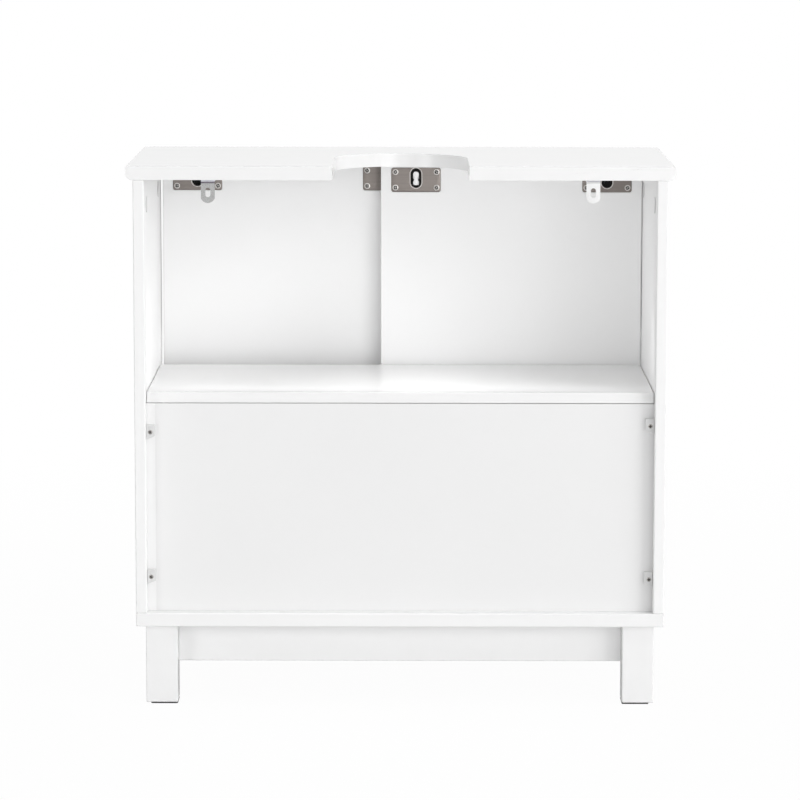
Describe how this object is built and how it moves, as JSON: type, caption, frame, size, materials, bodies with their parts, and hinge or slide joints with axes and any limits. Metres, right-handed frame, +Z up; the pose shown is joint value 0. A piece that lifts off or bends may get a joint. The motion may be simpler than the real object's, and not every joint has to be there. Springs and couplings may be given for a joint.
{
  "type": "sink base cabinet",
  "caption": "Low white cabinet that stands under a washbasin, with a siphon cut-out in its top, a shelf, an open rear and sliding doors on a leg frame.",
  "frame": {"origin": "on the floor, under the middle of the top panel", "axes": "+Z up, the doors face -Y, the open rear faces +Y, X across the width"},
  "size_m": [0.6, 0.3, 0.6002],
  "materials": {
    "white_lacquer": "white lacquer, semi-gloss, on fibreboard",
    "white_hardboard": "white laminated hardboard, satin",
    "cap_grey": "light grey cap over a zinc cam",
    "zinc_steel": "satin zinc-plated steel",
    "white_plastic": "white moulded plastic, satin",
    "nylon": "white nylon, smooth",
    "black_plastic": "black moulded plastic, satin",
    "felt": "dark grey felt",
    "brushed_steel": "warm grey brushed steel",
    "chrome": "polished chrome"
  },
  "bodies": {
    "cabinet": {"top_panel": "white_lacquer", "bottom_panel": "white_lacquer", "side_panel_left": "white_lacquer", "side_panel_right": "white_lacquer", "shelf": "white_lacquer", "lower_back_panel": "white_hardboard", "cam_lock_rear_left": "cap_grey", "cam_lock_rear_right": "cap_grey", "cam_lock_front_left": "cap_grey", "cam_lock_front_right": "cap_grey", "shelf_pin_rear_left": "zinc_steel", "shelf_pin_rear_right": "zinc_steel", "shelf_pin_front_left": "zinc_steel", "shelf_pin_front_right": "zinc_steel", "back_clip_upper_left": "white_plastic", "back_clip_upper_right": "white_plastic", "back_clip_lower_left": "white_plastic", "back_clip_lower_right": "white_plastic", "leg_front_left": "white_lacquer", "leg_front_right": "white_lacquer", "leg_rear_left": "white_lacquer", "leg_rear_right": "white_lacquer", "leg_pad_front_left": "felt", "leg_pad_front_right": "felt", "leg_pad_rear_left": "felt", "leg_pad_rear_right": "felt", "apron_front": "white_lacquer", "apron_rear": "white_lacquer", "apron_left": "white_lacquer", "apron_right": "white_lacquer", "wall_bracket_left": "zinc_steel", "wall_bracket_right": "zinc_steel", "bracket_screw_left": "zinc_steel", "bracket_screw_right": "zinc_steel", "top_track": "white_plastic", "floor_track": "brushed_steel"},
    "door_inner": {"door_inner": "white_lacquer", "finger_pull_inner": "chrome", "guide_plate_inner_left": "brushed_steel", "guide_housing_inner_left": "black_plastic", "roller_box_inner_left": "white_plastic", "guide_plate_inner_right": "brushed_steel", "guide_housing_inner_right": "black_plastic", "roller_box_inner_right": "white_plastic"},
    "slider_inner_left": {"guide_slider_inner_left": "black_plastic"},
    "roller_inner_left": {"roller_inner_left": "nylon"},
    "slider_inner_right": {"guide_slider_inner_right": "nylon"},
    "roller_inner_right": {"roller_inner_right": "nylon"},
    "door_outer": {"door_outer": "white_lacquer", "finger_pull_outer": "chrome", "guide_plate_outer_left": "brushed_steel", "guide_housing_outer_left": "black_plastic", "roller_box_outer_left": "white_plastic", "guide_plate_outer_right": "brushed_steel", "guide_housing_outer_right": "black_plastic", "roller_box_outer_right": "white_plastic"},
    "slider_outer_left": {"guide_slider_outer_left": "nylon"},
    "roller_outer_left": {"roller_outer_left": "nylon"},
    "slider_outer_right": {"guide_slider_outer_right": "black_plastic"},
    "roller_outer_right": {"roller_outer_right": "nylon"}
  },
  "joints": [
    {"name": "door_inner_slide", "type": "slide", "parent": "cabinet", "child": "door_inner", "axis": [1, 0, 0], "range_m": [0, 0.256]},
    {"name": "slider_inner_left_push", "type": "slide", "parent": "door_inner", "child": "slider_inner_left", "axis": [0, 0, -1], "range_m": [0, 0.0035], "stiffness_N_per_m": 300, "springref_m": -0.004},
    {"name": "roller_inner_left_spin", "type": "hinge", "parent": "door_inner", "child": "roller_inner_left", "pos_m": [-0.247, -0.1125, 0.11585], "axis": [0, 1, 0], "range_deg": [0, 1957]},
    {"name": "slider_inner_right_push", "type": "slide", "parent": "door_inner", "child": "slider_inner_right", "axis": [0, 0, -1], "range_m": [0, 0.0035], "stiffness_N_per_m": 300, "springref_m": -0.004},
    {"name": "roller_inner_right_spin", "type": "hinge", "parent": "door_inner", "child": "roller_inner_right", "pos_m": [-0.009, -0.1125, 0.11585], "axis": [0, 1, 0], "range_deg": [0, 1957]},
    {"name": "door_outer_slide", "type": "slide", "parent": "cabinet", "child": "door_outer", "axis": [-1, 0, 0], "range_m": [-0.002, 0.254]},
    {"name": "slider_outer_left_push", "type": "slide", "parent": "door_outer", "child": "slider_outer_left", "axis": [0, 0, -1], "range_m": [0, 0.0035], "stiffness_N_per_m": 300, "springref_m": -0.004},
    {"name": "roller_outer_left_spin", "type": "hinge", "parent": "door_outer", "child": "roller_outer_left", "pos_m": [0.007, -0.1345, 0.11585], "axis": [0, 1, 0], "range_deg": [-1942, 17]},
    {"name": "slider_outer_right_push", "type": "slide", "parent": "door_outer", "child": "slider_outer_right", "axis": [0, 0, -1], "range_m": [0, 0.0035], "stiffness_N_per_m": 300, "springref_m": -0.004},
    {"name": "roller_outer_right_spin", "type": "hinge", "parent": "door_outer", "child": "roller_outer_right", "pos_m": [0.245, -0.1345, 0.11585], "axis": [0, 1, 0], "range_deg": [-1942, 17]}
  ],
  "couplings": [
    {"joint": "roller_inner_left_spin", "follows": "door_inner_slide", "rad_per_m": 133.33},
    {"joint": "roller_inner_right_spin", "follows": "door_inner_slide", "rad_per_m": 133.33},
    {"joint": "roller_outer_left_spin", "follows": "door_outer_slide", "rad_per_m": -133.33},
    {"joint": "roller_outer_right_spin", "follows": "door_outer_slide", "rad_per_m": -133.33}
  ]
}
